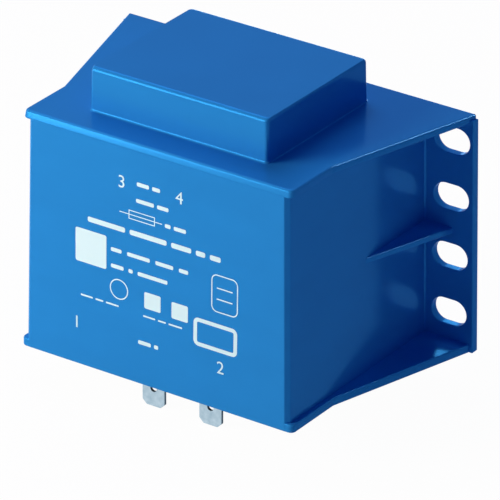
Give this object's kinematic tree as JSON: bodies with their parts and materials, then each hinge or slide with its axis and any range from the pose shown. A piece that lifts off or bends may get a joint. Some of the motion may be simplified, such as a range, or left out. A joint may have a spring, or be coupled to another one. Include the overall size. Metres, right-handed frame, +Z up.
{
  "type": "encapsulated pcb transformer",
  "caption": "Potted mains transformer in a blue moulded housing with a raised hat, blade tabs below and a slotted rear mounting flange.",
  "frame": {"origin": "centre of the underside, at the board plane", "axes": "+Z up from the board, +Y towards the rear mounting flange, +X along the flange"},
  "size_m": [0.1016, 0.059, 0.0801],
  "materials": {
    "housing": "glossy moulded blue plastic",
    "resin": "cast dark grey resin",
    "steel": "stacked silicon steel",
    "bobbin": "natural nylon",
    "copper": "enamelled copper wire",
    "tape": "yellow polyester tape",
    "tin": "satin tinned brass"
  },
  "bodies": {
    "root": {"housing": "housing", "potting_compound": "resin", "e_lamination_stack": "steel", "i_lamination_stack": "steel", "coil_bobbin": "bobbin", "primary_winding": "copper", "secondary_winding": "copper", "primary_tape": "tape", "secondary_tape": "tape", "primary_tab_left": "tin", "primary_tab_right": "tin", "secondary_tab_left": "tin", "secondary_tab_right": "tin", "primary_lead_left": "copper", "primary_lead_right": "copper", "secondary_lead_left": "copper", "secondary_lead_right": "copper"}
  },
  "joints": []
}
